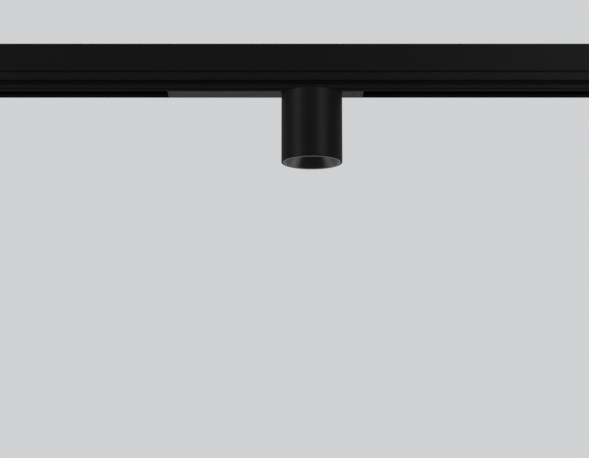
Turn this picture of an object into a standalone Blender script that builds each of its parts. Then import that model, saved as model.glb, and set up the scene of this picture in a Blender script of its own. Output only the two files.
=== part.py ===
"""A track spotlight: a cylinder lamp on a magnetic adaptor, in a cut length of ceiling track.

X runs along the track, Y across it and Z up. The origin is the centre of the track's ceiling face,
straight above the lamp's swivel axis. Sizes here are in millimetres, and MM turns them into metres.
"""

import math

import bmesh
import bpy
from mathutils import Matrix, Vector

MM = 0.001
GAP = 0.3  # clearance between pieces that touch
ROUND = 48  # sides of a large round piece
SMALL_ROUND = 16  # sides of a small round piece
HOLE_PHASE = 7.0  # turns the sides of a drilled hole away from its neighbours' corners, in degrees
SMOOTH_ANGLE = math.radians(35)

# Track
TRACK_LEFT = -335.0
TRACK_RIGHT = 305.0
TRACK_HALF = 13.5  # half its width
TRACK_HEIGHT = 47.9
CAP_THICKNESS = 2.0
CAP_PLUG_LENGTH = 6.0
CHAMBER_HALF = 11.7  # half the width of the cable chamber and of the upper slot
CHAMBER_TOP = -2.0
CHAMBER_BOTTOM = -16.0
SLOT_TOP = -17.6
SLOT_HALF = 9.8
REBATE_HALF = 12.3  # the shallow step that takes the adaptor's cover plate
REBATE_TOP = -46.2
LATCH_GROOVE_TOP = -42.7
LATCH_GROOVE_BOTTOM = -45.0
CARRIER_FLOOR = -31.3
CONDUCTOR_LEVELS = (-26.6, -29.6)
FIXING_HOLES = (-290.0, 100.0, 270.0)
FIXING_RADIUS = 1.9
ACCESS_RADIUS = 4.5  # of the holes in line below them, for the screw's head and driver
STRIP_TOP = SLOT_TOP - GAP
STRIP_THICKNESS = 1.2
STRIP_HALF = 7.0
GROMMET_LEVEL = -9.0

# Adaptor
ADAPTOR_LEFT = -142.2
ADAPTOR_RIGHT = 50.8
PLATE_HALF = 12.0
PLATE_TOP = -46.5
PLATE_BOTTOM = -48.2
HOUSING_TOP = -23.5
HOUSING_HALF = 8.9
HOUSING_WALL = 1.2
HOUSING_INSIDE = HOUSING_HALF - HOUSING_WALL
CONTACT_X = -118.0
CONTACT_HALF_LENGTH = 4.0
CONTACT_REACH = SLOT_HALF - 0.1  # just short of the copper
BOARD_TOP = -42.0
BOARD_THICKNESS = 1.6

# Release button and latches
BUTTON_X = 44.8
BUTTON_HALF_LENGTH = 3.7
BUTTON_HALF_WIDTH = 7.4
WEDGE_FOOT = 2.0  # half width of the button's wedge where it meets the slab
WEDGE_TOP = -41.1
LATCH_TOP = -42.9
LATCH_BOTTOM = -44.7
LATCH_REACH = 11.2
LATCH_HALF_LENGTH = 2.3
SPRING_RADIUS = 2.6
SPRING_WIRE = 0.35
SPRING_TURNS = 6

# Swivel
SHAFT_RADIUS = 5.0
SHAFT_BORE = 3.2
SHAFT_TOP = -40.0
SWIVEL_HOLE = 6.4  # radius of the cover plate's hole
DISC_TOP = -48.5
DISC_BOTTOM = -50.0
DISC_RADIUS = 11.0
ARM_TOP = -50.3
ARM_BOTTOM = -52.3
ARM_HALF_WIDTH = 6.0
ARM_FRONT = -9.0
ARM_SCREW_Y = 6.8

# Tilt hinge, at the head's top rear edge
HINGE_Y = 28.2
HINGE_Z = -51.3
KNUCKLE_RADIUS = 2.6
PIN_RADIUS = 1.25
EAR_OUTER = 8.9

# Head
HEAD_RADIUS = 30.0
TUBE_WALL = 1.2
HEAD_TOP = -48.5
HEAD_BOTTOM = -117.5
BORE_RADIUS = HEAD_RADIUS - TUBE_WALL
TOP_CAP_TOP = -48.8
TOP_CAP_BOTTOM = -56.4
WELL_RADIUS = 11.9
WELL_FLOOR = -54.6
SINK_TOP = TOP_CAP_BOTTOM - GAP
SINK_BASE_TOP = -72.4
SINK_BOTTOM = -76.4
SINK_RADIUS = 28.2
FINS = 16
CAP_SCREW_CIRCLE = 20.0
CAP_SCREW_SEAT = -51.4  # floor of the sunk seats for the screw heads
CONE_THROAT_Z = -93.3
CONE_THROAT_RADIUS = 12.4
CONE_MOUTH_Z = HEAD_BOTTOM  # its ring is flush with the tube's end
CONE_MOUTH_RADIUS = 26.2


def clear_scene():
    for item in list(bpy.data.objects):
        bpy.data.objects.remove(item)


def paint(name, color, roughness, metallic=0.0):
    """A plain Principled material, made once for each name."""
    made = bpy.data.materials.get(name)
    if made is None:
        made = bpy.data.materials.new(name)
        made.use_nodes = True
        shader = made.node_tree.nodes["Principled BSDF"]
        shader.inputs["Base Color"].default_value = (*color, 1.0)
        shader.inputs["Roughness"].default_value = roughness
        shader.inputs["Metallic"].default_value = metallic
    return made


def powder_coat():
    return paint("black_powder_coat", (0.012, 0.012, 0.013), 0.5)


def cone_black():
    return paint("satin_black", (0.02, 0.019, 0.019), 0.35)


def black_plastic():
    return paint("black_plastic", (0.018, 0.018, 0.018), 0.55)


def carrier_plastic():
    return paint("grey_plastic", (0.1, 0.1, 0.11), 0.6)


def copper():
    return paint("copper", (0.72, 0.4, 0.24), 0.3, 1.0)


def steel():
    return paint("bright_steel", (0.55, 0.55, 0.57), 0.35, 1.0)


def nickel():
    return paint("nickel_plate", (0.66, 0.64, 0.6), 0.2, 1.0)


def aluminium():
    return paint("bare_aluminium", (0.6, 0.61, 0.63), 0.4, 1.0)


def circuit_board():
    return paint("board_green", (0.02, 0.14, 0.06), 0.45)


def white_board():
    return paint("board_white", (0.75, 0.75, 0.73), 0.4)


def phosphor():
    return paint("phosphor_yellow", (0.85, 0.62, 0.12), 0.5)


def clear_plastic():
    return paint("clear_lens", (0.9, 0.92, 0.94), 0.05)


def rubber():
    return paint("grommet_rubber", (0.02, 0.02, 0.02), 0.8)


def ferrite():
    return paint("ferrite", (0.06, 0.06, 0.065), 0.5)


def sleeve():
    return paint("capacitor_sleeve", (0.05, 0.07, 0.12), 0.4)


def joint_frame(name, x, y, z, parent=None):
    """An empty on a joint's axis. What moves with the joint is parented to it."""
    empty = bpy.data.objects.new(name, None)
    bpy.context.scene.collection.objects.link(empty)
    empty.matrix_world = Matrix.Translation(Vector((x, y, z)) * MM)
    if parent:
        attach(empty, parent)
    return empty


def attach(item, parent):
    bpy.context.view_layer.update()
    item.parent = parent
    item.matrix_parent_inverse = parent.matrix_world.inverted()


def finish_object(name, bm, material, parent):
    """Turns a bmesh in millimetres into a named object in metres."""
    bmesh.ops.scale(bm, vec=(MM, MM, MM), verts=bm.verts)
    bmesh.ops.recalc_face_normals(bm, faces=bm.faces)
    mesh = bpy.data.meshes.new(name)
    bm.to_mesh(mesh)
    bm.free()
    mesh.shade_smooth()
    mesh.set_sharp_from_angle(angle=SMOOTH_ANGLE)
    item = bpy.data.objects.new(name, mesh)
    bpy.context.scene.collection.objects.link(item)
    if material:
        mesh.materials.append(material)
    if parent:
        attach(item, parent)
    return item


def place(axis, along, u, v):
    """A point at distance along the axis: X sees (Y, Z) and Z sees (X, Y)."""
    if axis == "X":
        return (along, u, v)
    return (u, v, along)


def add_prism(bm, outline, axis, start, end):
    first = [bm.verts.new(place(axis, start, u, v)) for u, v in outline]
    last = [bm.verts.new(place(axis, end, u, v)) for u, v in outline]
    bm.faces.new(first)
    bm.faces.new(last[::-1])
    for i in range(len(outline)):
        j = (i + 1) % len(outline)
        bm.faces.new((first[i], last[i], last[j], first[j]))


def prism(name, outline, axis, start, end, material=None, parent=None):
    bm = bmesh.new()
    add_prism(bm, outline, axis, start, end)
    return finish_object(name, bm, material, parent)


def rectangle(u0, u1, v0, v1):
    return [(u0, v0), (u1, v0), (u1, v1), (u0, v1)]


def arc(cu, cv, radius, start, end, steps):
    """Points on an arc, its angles in degrees."""
    angles = [math.radians(start + (end - start) * i / steps) for i in range(steps + 1)]
    return [(cu + radius * math.cos(a), cv + radius * math.sin(a)) for a in angles]


def circle(cu, cv, radius, sides, phase=0.0):
    return arc(cu, cv, radius, phase, phase + 360, sides)[:-1]


def block(name, low, high, material=None, parent=None):
    outline = rectangle(low[1], high[1], low[2], high[2])
    return prism(name, outline, "X", low[0], high[0], material, parent)


def turned(
    name, profile, material=None, parent=None, centre=(0, 0), axis="Z", sides=ROUND, phase=0.0
):
    """A closed profile of (radius, height) points turned about an axis through the centre."""
    bm = bmesh.new()
    rings = []
    for radius, height in profile:
        if radius == 0:
            rings.append([bm.verts.new(place(axis, height, *centre))])
        else:
            points = circle(centre[0], centre[1], radius, sides, phase)
            rings.append([bm.verts.new(place(axis, height, u, v)) for u, v in points])
    for k, ring in enumerate(rings):
        following = rings[(k + 1) % len(rings)]
        for i in range(sides):
            j = (i + 1) % sides
            if len(ring) > 1 and len(following) > 1:
                bm.faces.new((ring[i], ring[j], following[j], following[i]))
            elif len(ring) > 1:
                bm.faces.new((ring[i], ring[j], following[0]))
            elif len(following) > 1:
                bm.faces.new((ring[0], following[j], following[i]))
    return finish_object(name, bm, material, parent)


def ring(name, bore, radius, bottom, top, material, parent, **more):
    profile = [(bore, bottom), (radius, bottom), (radius, top), (bore, top)]
    return turned(name, profile, material, parent, **more)


def disc(name, radius, bottom, top, material=None, parent=None, **more):
    profile = [(0, bottom), (radius, bottom), (radius, top), (0, top)]
    return turned(name, profile, material, parent, **more)


def boolean(item, other, operation):
    """Cuts other from item, or joins it on. The other object is only a guide."""
    other.hide_render = True
    other.display_type = "WIRE"
    modifier = item.modifiers.new(other.name, "BOOLEAN")
    modifier.operation = operation
    modifier.solver = "EXACT"
    modifier.object = other


def cut(item, *cutters):
    for cutter in cutters:
        boolean(item, cutter, "DIFFERENCE")


def join(item, *others):
    for other in others:
        boolean(item, other, "UNION")


def drill(item, label, points, radius, bottom, top):
    """Upright round holes at the given (x, y) points."""
    for n, (x, y) in enumerate(points, 1):
        shape = {"centre": (x, y), "sides": SMALL_ROUND, "phase": HOLE_PHASE}
        cut(item, disc(f"{label}_{n}", radius, bottom, top, **shape))


def screw(name, x, y, head_radius, head_bottom, head_top, shank_radius, shank_top, parent):
    """A pan-head screw that points up."""
    profile = [
        (0, head_bottom),
        (head_radius * 0.8, head_bottom),
        (head_radius, head_bottom + 0.5),
        (head_radius, head_top),
        (shank_radius, head_top),
        (shank_radius, shank_top),
        (0, shank_top),
    ]
    turned(name, profile, steel(), parent, centre=(x, y), sides=SMALL_ROUND)


# Track


def track_half_outline():
    """One side of the profile, from the ceiling face's edge round to the slot's ceiling."""
    lip_radius = 3.4
    lip = arc(TRACK_HALF - lip_radius, -44.0, lip_radius, 35, -32, 8)
    return [
        (TRACK_HALF, 0),
        (TRACK_HALF, -27.7),
        (TRACK_HALF - 1.0, -27.7),
        (TRACK_HALF - 1.0, -29.0),
        (TRACK_HALF, -29.0),
        (TRACK_HALF, -37.1),
        (TRACK_HALF - 1.5, -37.1),
        (TRACK_HALF - 1.5, -38.9),
        (TRACK_HALF - 1.1, -39.3),
        (TRACK_HALF - 1.9, -39.8),
        (TRACK_HALF - 1.9, -42.0),
        *lip,
        (TRACK_HALF - 0.7, -46.0),
        (TRACK_HALF - 0.7, -46.5),
        (TRACK_HALF, -46.7),
        (TRACK_HALF, -TRACK_HEIGHT + 0.3),
        (TRACK_HALF - 0.3, -TRACK_HEIGHT),
        (REBATE_HALF, -TRACK_HEIGHT),
        (REBATE_HALF, REBATE_TOP),
        (SLOT_HALF, REBATE_TOP),
        (SLOT_HALF, LATCH_GROOVE_BOTTOM),
        (CHAMBER_HALF, LATCH_GROOVE_BOTTOM),
        (CHAMBER_HALF, LATCH_GROOVE_TOP),
        (SLOT_HALF, LATCH_GROOVE_TOP),
        (SLOT_HALF, CARRIER_FLOOR),
        (CHAMBER_HALF, CARRIER_FLOOR),
        (CHAMBER_HALF, SLOT_TOP),
    ]


def make_track_profile(parent):
    half = track_half_outline()
    outline = half + [(-y, z) for y, z in reversed(half)]
    start = TRACK_LEFT + CAP_THICKNESS + GAP
    end = TRACK_RIGHT - CAP_THICKNESS - GAP
    profile = prism("track_profile", outline, "X", start, end, powder_coat(), parent)
    chamber = block(
        "cut_cable_chamber",
        (start - 5, -CHAMBER_HALF, CHAMBER_BOTTOM),
        (end + 5, CHAMBER_HALF, CHAMBER_TOP),
    )
    cut(profile, chamber)
    points = [(x, 0) for x in FIXING_HOLES]
    drill(profile, "cut_fixing_hole", points, FIXING_RADIUS, CHAMBER_TOP - 2, 2)
    drill(profile, "cut_access_hole", points, ACCESS_RADIUS, SLOT_TOP - 2, CHAMBER_BOTTOM + 2)


def make_steel_strip(parent):
    low = (TRACK_LEFT + CAP_THICKNESS + 2 * GAP, -STRIP_HALF, STRIP_TOP - STRIP_THICKNESS)
    high = (TRACK_RIGHT - CAP_THICKNESS - 2 * GAP, STRIP_HALF, STRIP_TOP)
    strip = block("magnet_strip", low, high, steel(), parent)
    points = [(x, 0) for x in FIXING_HOLES]
    low_end = STRIP_TOP - STRIP_THICKNESS - 2
    drill(strip, "cut_strip_hole", points, ACCESS_RADIUS, low_end, STRIP_TOP + 2)


def make_conductors(side, name, parent):
    """One insulating carrier with its two copper conductors. side is -1 at the front, 1 at the back."""
    start = TRACK_LEFT + CAP_THICKNESS + 2 * GAP
    end = TRACK_RIGHT - CAP_THICKNESS - 2 * GAP
    outer = CHAMBER_HALF - GAP
    inner = SLOT_HALF - GAP
    groove = inner + 1.2
    half_groove = 1.2
    outline = [(outer, SLOT_TOP - GAP), (outer, CARRIER_FLOOR + GAP), (inner, CARRIER_FLOOR + GAP)]
    for level in reversed(CONDUCTOR_LEVELS):
        outline.append((inner, level - half_groove))
        outline.append((groove, level - half_groove))
        outline.append((groove, level + half_groove))
        outline.append((inner, level + half_groove))
    outline.append((inner, SLOT_TOP - GAP))
    outline = [(side * y, z) for y, z in outline]
    prism(f"conductor_carrier_{name}", outline, "X", start, end, carrier_plastic(), parent)
    for n, level in enumerate(CONDUCTOR_LEVELS, 1):
        near, far = sorted((side * (inner + GAP), side * (groove - GAP)))
        low = (start, near, level - half_groove + GAP)
        high = (end, far, level + half_groove - GAP)
        block(f"conductor_{name}_{n}", low, high, copper(), parent)


def make_end_cap(name, outside, inward, parent):
    """A flat cap with a plug that reaches into the slot. inward is 1 at the left end, -1 at the right."""
    inside = outside + inward * CAP_THICKNESS
    outline = rectangle(-TRACK_HALF, TRACK_HALF, -TRACK_HEIGHT, 0)
    cap = prism(name, outline, "X", *sorted((outside, inside)), black_plastic(), parent)
    plug_end = inside + inward * CAP_PLUG_LENGTH
    plug = rectangle(-SLOT_HALF + 0.6, SLOT_HALF - 0.6, -45.4, -19.6)
    overlap = inside - inward * CAP_THICKNESS / 2
    join(cap, prism(f"add_{name}_plug", plug, "X", *sorted((overlap, plug_end))))
    return cap


def make_feed_grommet(cap, parent):
    """The rubber bush where a supply lead would enter the cable chamber."""
    centre = (0, GROMMET_LEVEL)
    inside = TRACK_RIGHT - CAP_THICKNESS
    hole = disc(
        "cut_feed_hole", 4.3, inside - 3, TRACK_RIGHT + 3, centre=centre, axis="X", sides=24
    )
    cut(cap, hole)
    profile = [
        (2.5, inside),
        (4.0, inside),
        (4.0, TRACK_RIGHT + GAP),
        (5.6, TRACK_RIGHT + GAP),
        (5.2, TRACK_RIGHT + 1.6),
        (2.5, TRACK_RIGHT + 1.6),
    ]
    turned("feed_grommet", profile, rubber(), parent, centre=centre, axis="X", sides=24)


def make_track(parent):
    make_track_profile(parent)
    make_steel_strip(parent)
    make_conductors(-1, "front", parent)
    make_conductors(1, "back", parent)
    make_end_cap("end_cap_left", TRACK_LEFT, 1, parent)
    feed_cap = make_end_cap("end_cap_feed", TRACK_RIGHT, -1, parent)
    make_feed_grommet(feed_cap, parent)


# Adaptor


def make_housing(parent):
    """A long box, open below, that fills the slot above the cover plate."""
    end_gap = 0.5
    low = (ADAPTOR_LEFT + end_gap, -HOUSING_HALF, PLATE_TOP + GAP)
    high = (ADAPTOR_RIGHT - end_gap, HOUSING_HALF, HOUSING_TOP)
    housing = block("driver_housing", low, high, black_plastic(), parent)
    inner_low = (low[0] + HOUSING_WALL, low[1] + HOUSING_WALL, low[2] - 2)
    inner_high = tuple(edge - HOUSING_WALL for edge in high)
    cut(housing, block("cut_housing_inside", inner_low, inner_high))
    for n, level in enumerate(CONDUCTOR_LEVELS, 1):
        window_low = (CONTACT_X - CONTACT_HALF_LENGTH - 0.4, -HOUSING_HALF - 2, level - 0.9)
        window_high = (CONTACT_X + CONTACT_HALF_LENGTH + 0.4, HOUSING_HALF + 2, level + 0.9)
        cut(housing, block(f"cut_contact_window_{n}", window_low, window_high))
    latch_length = LATCH_HALF_LENGTH + GAP
    latch_low = (BUTTON_X - latch_length, -HOUSING_HALF - 2, LATCH_BOTTOM - 0.4)
    latch_high = (BUTTON_X + latch_length, HOUSING_HALF + 2, LATCH_TOP + 0.4)
    cut(housing, block("cut_latch_window", latch_low, latch_high))


def make_cover_plate(parent):
    """The plate that closes the slot and stands just proud of it, with holes for swivel and button."""
    corner = 0.6
    outline = [
        (ADAPTOR_LEFT + corner, -PLATE_HALF),
        (ADAPTOR_RIGHT - corner, -PLATE_HALF),
        (ADAPTOR_RIGHT, -PLATE_HALF + corner),
        (ADAPTOR_RIGHT, PLATE_HALF - corner),
        (ADAPTOR_RIGHT - corner, PLATE_HALF),
        (ADAPTOR_LEFT + corner, PLATE_HALF),
        (ADAPTOR_LEFT, PLATE_HALF - corner),
        (ADAPTOR_LEFT, -PLATE_HALF + corner),
    ]
    plate = prism("cover_plate", outline, "Z", PLATE_BOTTOM, PLATE_TOP, powder_coat(), parent)
    cut(plate, disc("cut_swivel_hole", SWIVEL_HOLE, PLATE_BOTTOM - 2, PLATE_TOP + 2, sides=32))
    window_x = BUTTON_HALF_LENGTH + GAP
    window_y = BUTTON_HALF_WIDTH + GAP
    low = (BUTTON_X - window_x, -window_y, PLATE_BOTTOM - 2)
    high = (BUTTON_X + window_x, window_y, PLATE_TOP + 2)
    cut(plate, block("cut_button_window", low, high))


def make_contacts(parent):
    """The block that carries four spring contacts, two for each side of the slot."""
    block_half = HOUSING_INSIDE - GAP
    low = (CONTACT_X - 8, -block_half, -34)
    high = (CONTACT_X + 8, block_half, HOUSING_TOP - HOUSING_WALL - GAP)
    block("contact_block", low, high, carrier_plastic(), parent)
    for side, name in ((-1, "front"), (1, "back")):
        outline = [
            (CONTACT_X - CONTACT_HALF_LENGTH, side * HOUSING_INSIDE),
            (CONTACT_X + CONTACT_HALF_LENGTH, side * HOUSING_INSIDE),
            (CONTACT_X + CONTACT_HALF_LENGTH, side * (HOUSING_INSIDE + 0.7)),
            (CONTACT_X + 1.4, side * CONTACT_REACH),
            (CONTACT_X - 1.4, side * CONTACT_REACH),
            (CONTACT_X - CONTACT_HALF_LENGTH, side * (HOUSING_INSIDE + 0.7)),
        ]
        for n, level in enumerate(CONDUCTOR_LEVELS, 1):
            contact = f"spring_contact_{name}_{n}"
            prism(contact, outline, "Z", level - 0.6, level + 0.6, copper(), parent)


def make_magnets(parent):
    for name, x in (("left", -110.0), ("right", 30.0)):
        low = (x - 12, -6, HOUSING_TOP + GAP)
        high = (x + 12, 6, STRIP_TOP - STRIP_THICKNESS - 0.4)
        block(f"magnet_{name}", low, high, nickel(), parent)


def make_driver(parent):
    """The driver board and what stands on it."""
    board_bottom = BOARD_TOP - BOARD_THICKNESS
    base = BOARD_TOP + GAP
    block("driver_board", (-100, -7.2, board_bottom), (-24, 7.2, BOARD_TOP), circuit_board(), parent)
    block("driver_inductor", (-94, -6.5, base), (-80, 6.5, base + 10), ferrite(), parent)
    for n, x in enumerate((-70.0, -59.0), 1):
        name = f"driver_capacitor_{n}"
        disc(name, 4.5, base, base + 13, sleeve(), parent, centre=(x, 0), sides=24)
    block("driver_chip", (-50, -4, base), (-41, 4, base + 1.6), ferrite(), parent)
    block("output_connector", (-34, -5, base), (-26, 5, base + 6), white_board(), parent)


def make_swivel_bush(parent):
    profile = [
        (SHAFT_RADIUS + GAP, PLATE_BOTTOM + 0.2),
        (SWIVEL_HOLE - GAP, PLATE_BOTTOM + 0.2),
        (SWIVEL_HOLE - GAP, PLATE_TOP + GAP),
        (HOUSING_INSIDE - GAP, PLATE_TOP + GAP),
        (HOUSING_INSIDE - GAP, -44.6),
        (SHAFT_RADIUS + GAP, -44.6),
    ]
    turned("swivel_bush", profile, carrier_plastic(), parent, sides=32)


def make_adaptor(parent):
    make_housing(parent)
    make_cover_plate(parent)
    make_contacts(parent)
    make_magnets(parent)
    make_driver(parent)
    make_swivel_bush(parent)


# Release button and latches


def make_release_button(parent):
    """A slab flush with the plate, and a wedge that widens upwards and holds the latches out."""
    wedge = WEDGE_FOOT + WEDGE_TOP - PLATE_TOP
    half = [
        (BUTTON_HALF_WIDTH, PLATE_BOTTOM),
        (BUTTON_HALF_WIDTH, PLATE_TOP),
        (WEDGE_FOOT, PLATE_TOP),
        (wedge, WEDGE_TOP),
    ]
    outline = half + [(-y, z) for y, z in reversed(half)]
    start = BUTTON_X - BUTTON_HALF_LENGTH
    end = BUTTON_X + BUTTON_HALF_LENGTH
    prism("release_button", outline, "X", start, end, powder_coat(), parent)


def make_latch(name, side, parent):
    """A tongue whose slanted inner end rests on the button's wedge."""
    slant_gap = GAP * math.sqrt(2)
    foot = WEDGE_FOOT + slant_gap - PLATE_TOP
    outline = [
        (side * (foot + LATCH_TOP), LATCH_TOP),
        (side * (foot + LATCH_BOTTOM), LATCH_BOTTOM),
        (side * LATCH_REACH, LATCH_BOTTOM),
        (side * LATCH_REACH, LATCH_TOP),
    ]
    start = BUTTON_X - LATCH_HALF_LENGTH
    end = BUTTON_X + LATCH_HALF_LENGTH
    prism(name, outline, "X", start, end, steel(), parent)


def make_release_spring(parent):
    """A coil between the button's wedge and the housing's roof."""
    bottom = WEDGE_TOP + GAP + SPRING_WIRE
    top = HOUSING_TOP - HOUSING_WALL - GAP - SPRING_WIRE
    steps_a_turn = 12
    steps = SPRING_TURNS * steps_a_turn
    sides = 5
    bm = bmesh.new()
    rings = []
    for i in range(steps + 1):
        angle = 2 * math.pi * i / steps_a_turn
        out = Vector((math.cos(angle), math.sin(angle), 0))
        middle = Vector((BUTTON_X, 0, bottom + (top - bottom) * i / steps)) + out * SPRING_RADIUS
        points = circle(0, 0, SPRING_WIRE, sides)
        rings.append([bm.verts.new(middle + out * u + Vector((0, 0, v))) for u, v in points])
    for first, second in zip(rings, rings[1:]):
        for i in range(sides):
            j = (i + 1) % sides
            bm.faces.new((first[i], first[j], second[j], second[i]))
    bm.faces.new(rings[0])
    bm.faces.new(rings[-1][::-1])
    finish_object("release_spring", bm, steel(), parent)


# Swivel


def make_swivel_shaft(parent):
    profile = [
        (SHAFT_BORE, DISC_BOTTOM),
        (DISC_RADIUS, DISC_BOTTOM),
        (DISC_RADIUS, DISC_TOP),
        (SHAFT_RADIUS, DISC_TOP),
        (SHAFT_RADIUS, SHAFT_TOP),
        (SHAFT_BORE, SHAFT_TOP),
    ]
    shaft = turned("swivel_shaft", profile, steel(), parent, sides=32)
    points = [(0, -ARM_SCREW_Y), (0, ARM_SCREW_Y)]
    drill(shaft, "cut_disc_screw_hole", points, 1.3, DISC_BOTTOM - 2, DISC_TOP - 0.6)


def make_swivel_nut(parent):
    bore = SHAFT_RADIUS + GAP
    ring("friction_washer", bore, 7.2, -44.3, -43.7, steel(), parent, sides=32)
    nut = prism("swivel_nut", circle(0, 0, 7.4, 6), "Z", -43.4, -40.4, steel(), parent)
    cut(nut, disc("cut_nut_bore", bore, -46, -38, sides=32))


def hinge_disc(radius, sides=24):
    return circle(HINGE_Y, HINGE_Z, radius, sides)


def make_tilt_arm(parent):
    """A flat arm from under the disc to the hinge, with one knuckle on its end."""
    meet = math.degrees(math.asin((ARM_TOP - HINGE_Z) / KNUCKLE_RADIUS))
    knuckle = arc(HINGE_Y, HINGE_Z, KNUCKLE_RADIUS, 180 - meet, meet - 180, 20)
    outline = [(ARM_FRONT, ARM_BOTTOM), (ARM_FRONT, ARM_TOP), *knuckle]
    arm = prism("tilt_arm", outline, "X", -ARM_HALF_WIDTH, ARM_HALF_WIDTH, steel(), parent)
    pin_hole = hinge_disc(PIN_RADIUS + GAP)
    cut(arm, prism("cut_arm_pin_hole", pin_hole, "X", -ARM_HALF_WIDTH - 2, ARM_HALF_WIDTH + 2))
    drill(arm, "cut_arm_wire_hole", [(0, 0)], SHAFT_BORE, ARM_BOTTOM - 2, ARM_TOP + 2)
    points = [(0, -ARM_SCREW_Y), (0, ARM_SCREW_Y)]
    drill(arm, "cut_arm_screw_hole", points, 1.3, ARM_BOTTOM - 2, ARM_TOP + 2)
    for n, (x, y) in enumerate(points, 1):
        head_top = ARM_BOTTOM - GAP
        screw(f"arm_screw_{n}", x, y, 2.2, head_top - 1.4, head_top, 1.0, DISC_TOP - 0.9, parent)


def make_swivel(parent):
    make_swivel_shaft(parent)
    make_swivel_nut(parent)
    make_tilt_arm(parent)


# Head


def make_head_tube(parent):
    rim = 0.5
    profile = [
        (BORE_RADIUS, HEAD_BOTTOM + rim),
        (BORE_RADIUS + rim, HEAD_BOTTOM),
        (HEAD_RADIUS - rim, HEAD_BOTTOM),
        (HEAD_RADIUS, HEAD_BOTTOM + rim),
        (HEAD_RADIUS, HEAD_TOP - rim),
        (HEAD_RADIUS - rim, HEAD_TOP),
        (BORE_RADIUS, HEAD_TOP),
    ]
    tube = turned("head_tube", profile, powder_coat(), parent, sides=64)
    notch_half = EAR_OUTER + 0.4
    low = (-notch_half, 20, HINGE_Z - KNUCKLE_RADIUS - 0.5)
    high = (notch_half, HEAD_RADIUS + 5, HEAD_TOP + 5)
    cut(tube, block("cut_hinge_notch", low, high))


def make_top_cap(parent):
    """The plug in the tube's top, with a well for the disc, a channel for the arm and two hinge ears."""
    radius = BORE_RADIUS - GAP
    cap = disc("top_cap", radius, TOP_CAP_BOTTOM, TOP_CAP_TOP, powder_coat(), parent)
    ear = [(22, HINGE_Z - KNUCKLE_RADIUS), *arc(HINGE_Y, HINGE_Z, KNUCKLE_RADIUS, -90, 90, 12)]
    ear.append((22, HINGE_Z + KNUCKLE_RADIUS))
    join(cap, prism("add_hinge_ears", ear, "X", -EAR_OUTER, EAR_OUTER))
    cut(cap, disc("cut_disc_well", WELL_RADIUS, WELL_FLOOR, HEAD_TOP + 2, sides=32))
    channel_half = ARM_HALF_WIDTH + 0.5
    low = (-channel_half, 0, WELL_FLOOR)
    high = (channel_half, HEAD_RADIUS + 5, HEAD_TOP + 2)
    cut(cap, block("cut_arm_channel", low, high))
    pin_hole = hinge_disc(PIN_RADIUS + GAP)
    cut(cap, prism("cut_ear_pin_hole", pin_hole, "X", -EAR_OUTER - 2, EAR_OUTER + 2))
    drill(cap, "cut_wire_hole", [(0, 0)], 4.0, TOP_CAP_BOTTOM - 2, WELL_FLOOR + 2)
    hole = [
        (0, TOP_CAP_BOTTOM - 2),
        (1.6, TOP_CAP_BOTTOM - 2),
        (1.6, CAP_SCREW_SEAT),
        (3.0, CAP_SCREW_SEAT),
        (3.0, TOP_CAP_TOP + 2),
        (0, TOP_CAP_TOP + 2),
    ]
    for n, point in enumerate(cap_screw_places(), 1):
        shape = {"centre": point, "sides": SMALL_ROUND, "phase": HOLE_PHASE}
        cut(cap, turned(f"cut_cap_screw_seat_{n}", hole, **shape))


def cap_screw_places():
    """Two places in the gaps between the heat sink's fins."""
    angle = 2 * math.pi / FINS
    x = CAP_SCREW_CIRCLE * math.cos(angle)
    y = -CAP_SCREW_CIRCLE * math.sin(angle)
    return [(-x, y), (x, y)]


def make_cap_screws(parent):
    """Screws that point down, from the cap into the heat sink."""
    head_bottom = CAP_SCREW_SEAT + GAP
    end = head_bottom - 11.3
    for n, point in enumerate(cap_screw_places(), 1):
        profile = [
            (0, end),
            (1.25, end),
            (1.25, head_bottom),
            (2.6, head_bottom),
            (2.6, head_bottom + 1.3),
            (2.0, head_bottom + 1.8),
            (0, head_bottom + 1.8),
        ]
        name = f"cap_screw_{n}"
        turned(name, profile, steel(), parent, centre=point, sides=SMALL_ROUND)


def make_heat_sink(board_screw_points, parent):
    """Upright fins round a core, on a round base."""
    core = 9.0
    fin_half = 0.9
    tip = SINK_RADIUS - 0.4
    outline = []
    for k in range(FINS):
        angle = 2 * math.pi * (k + 0.5) / FINS
        along = Vector((math.cos(angle), math.sin(angle)))
        across = Vector((-along.y, along.x)) * fin_half
        for point in (along * core - across, along * tip - across):
            outline.append(tuple(point))
        for point in (along * tip + across, along * core + across):
            outline.append(tuple(point))
    sink = prism("heat_sink", outline, "Z", SINK_BASE_TOP - 1, SINK_TOP, aluminium(), parent)
    join(sink, disc("add_sink_base", SINK_RADIUS, SINK_BOTTOM, SINK_BASE_TOP))
    for n, (x, y) in enumerate(cap_screw_places(), 1):
        boss = disc(f"add_sink_boss_{n}", 2.6, SINK_BASE_TOP - 2, SINK_TOP, centre=(x, y), sides=24)
        join(sink, boss)
    drill(sink, "cut_boss_hole", cap_screw_places(), 1.55, -63.0, SINK_TOP + 2)
    drill(sink, "cut_board_screw_hole", board_screw_points, 1.4, SINK_BOTTOM - 2, -73.2)


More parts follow.
